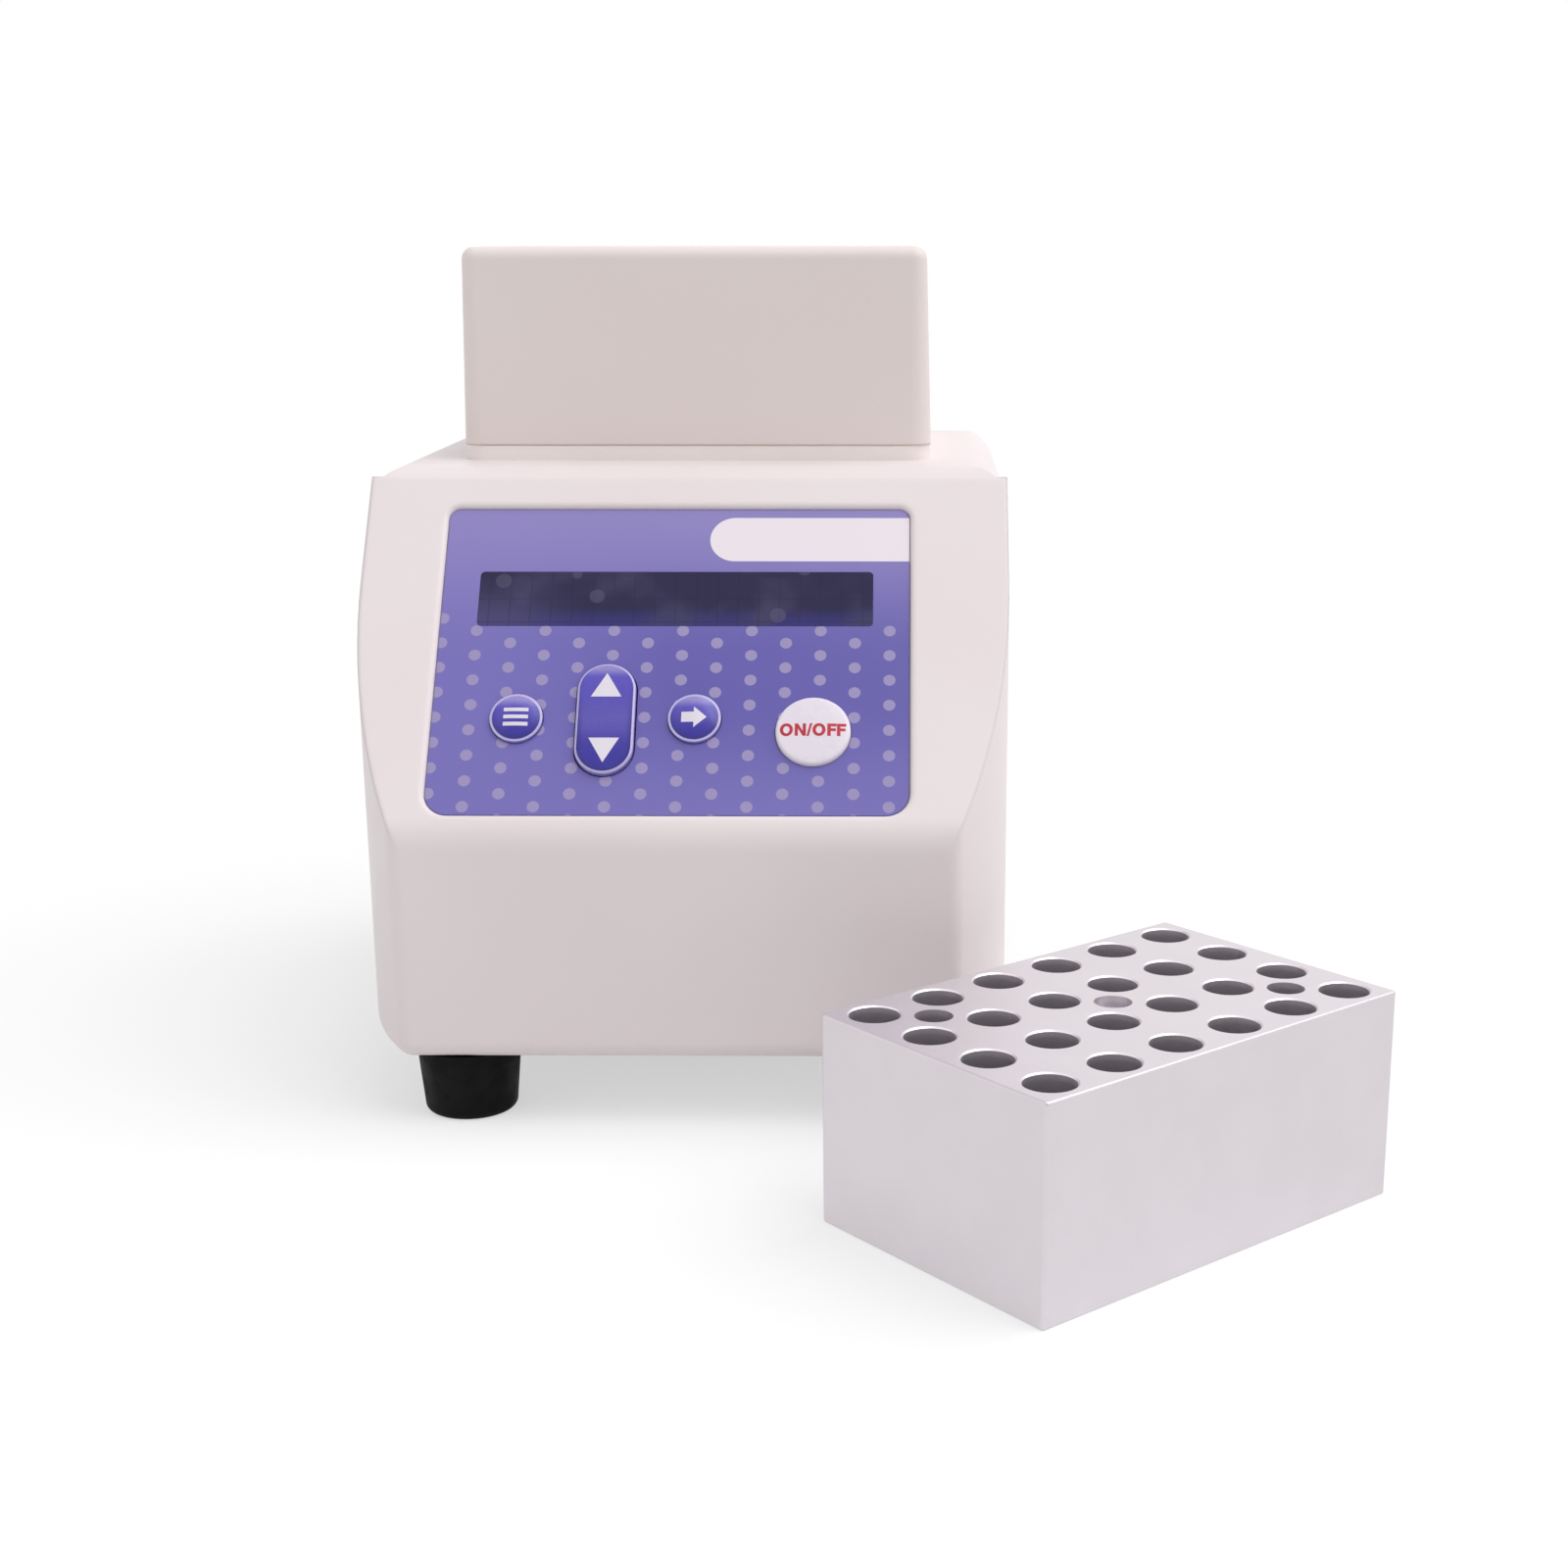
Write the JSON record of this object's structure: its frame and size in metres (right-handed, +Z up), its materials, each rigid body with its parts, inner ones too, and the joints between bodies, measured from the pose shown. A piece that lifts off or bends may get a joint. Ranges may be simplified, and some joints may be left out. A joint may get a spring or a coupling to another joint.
{
  "type": "dry block heater",
  "caption": "Compact dry block heater with a slanted keypad panel, hinged heated lid over a block well, rubber feet and a lift-out aluminium tube block.",
  "frame": {"origin": "on the bench under the middle of the casing, in the plane of the four foot soles", "axes": "+X to the right seen from the front, +Y to the back, +Z up"},
  "size_m": [0.1712, 0.2094, 0.1455],
  "materials": {
    "casing_plastic": "warm white moulded plastic, fine satin grain",
    "lid_plastic": "warm white moulded plastic, satin",
    "overlay_film": "printed polyester film, violet blue, glossy",
    "window_tint": "tinted clear window",
    "key_blue": "dark blue glossy key",
    "key_white": "white glossy dome key",
    "foot_rubber": "black moulded rubber",
    "block_aluminium": "bead-blasted aluminium",
    "plate_aluminium": "machined aluminium",
    "liner_plastic": "warm white moulded plastic",
    "base_sheet": "powder coated sheet",
    "steel": "plated steel",
    "black_plastic": "black moulded plastic",
    "board_green": "circuit board with solder mask",
    "ceramic": "white ceramic faces",
    "foam_dark": "closed-cell foam",
    "silicone_orange": "silicone heater mat",
    "screen_glass": "display glass",
    "ribbon_grey": "flat grey cable",
    "capacitor_sleeve": "sleeved can",
    "ferrite": "wound core",
    "terminal_green": "moulded terminal block"
  },
  "bodies": {
    "heater": {"upper_housing": "casing_plastic", "base_plate": "base_sheet", "base_screws": "steel", "foot_front_left": "foot_rubber", "foot_front_right": "foot_rubber", "foot_rear_left": "foot_rubber", "foot_rear_right": "foot_rubber", "foot_screws": "steel", "keypad_overlay": "overlay_film", "display_window": "window_tint", "control_board": "board_green", "control_board_screws": "steel", "tact_switches": "black_plastic", "lcd_frame": "black_plastic", "lcd_glass": "screen_glass", "main_board": "board_green", "board_standoffs": "steel", "main_board_screws": "steel", "capacitors": "capacitor_sleeve", "power_inductor": "ferrite", "driver_transistors": "black_plastic", "terminal_block": "terminal_green", "ribbon_cable": "ribbon_grey", "well_liner": "liner_plastic", "insulation_jacket": "foam_dark", "thermal_seat": "plate_aluminium", "seat_screws": "steel", "temperature_sensor": "steel", "thermal_cutout": "black_plastic", "thermoelectric_modules": "ceramic", "module_gasket": "foam_dark", "heat_sink": "plate_aluminium", "sink_posts": "steel", "post_screws": "steel", "fan_frame": "black_plastic", "fan_screws": "steel", "dc_inlet": "black_plastic", "inlet_nut": "steel", "hinge_bracket": "lid_plastic", "hinge_pin": "steel", "hinge_screws": "steel"},
    "lid": {"lid_shell": "lid_plastic", "lid_frame": "liner_plastic", "lid_heater_plate": "plate_aluminium", "lid_heater_mat": "silicone_orange", "lid_insulation": "foam_dark", "lid_screws": "steel"},
    "program_key": {"key_program": "key_blue"},
    "rocker_key": {"arrow_rocker": "key_blue"},
    "next_key": {"key_next": "key_blue"},
    "power_key": {"key_power": "key_white"},
    "fan": {"fan_rotor": "black_plastic"},
    "block": {"tube_block": "block_aluminium"}
  },
  "joints": [
    {"name": "lid_hinge", "type": "hinge", "parent": "heater", "child": "lid", "pos_m": [0, 0.0595, 0.1138], "axis": [-1, 0, 0], "range_deg": [0, 100]},
    {"name": "program_key_press", "type": "slide", "parent": "heater", "child": "program_key", "axis": [0, 0.7826, -0.6225], "range_m": [0, 0.0005], "stiffness_N_per_m": 600, "springref_m": -0.0005},
    {"name": "next_key_press", "type": "slide", "parent": "heater", "child": "next_key", "axis": [0, 0.7826, -0.6225], "range_m": [0, 0.0005], "stiffness_N_per_m": 600, "springref_m": -0.0005},
    {"name": "power_key_press", "type": "slide", "parent": "heater", "child": "power_key", "axis": [0, 0.7826, -0.6225], "range_m": [0, 0.0005], "stiffness_N_per_m": 600, "springref_m": -0.0005},
    {"name": "arrow_rocker_tip", "type": "hinge", "parent": "heater", "child": "rocker_key", "pos_m": [-0.01241, -0.04867, 0.06579], "axis": [1, 0, 0], "range_deg": [-2, 2], "stiffness_Nm_per_rad": 0.05},
    {"name": "fan_spin", "type": "hinge", "parent": "heater", "child": "fan", "pos_m": [0, 0.018, 0.028], "axis": [0, 0, 1], "continuous": true},
    {"name": "block_lift", "type": "slide", "parent": "heater", "child": "block", "axis": [0, 0, 1], "range_m": [0, 0.12]}
  ]
}
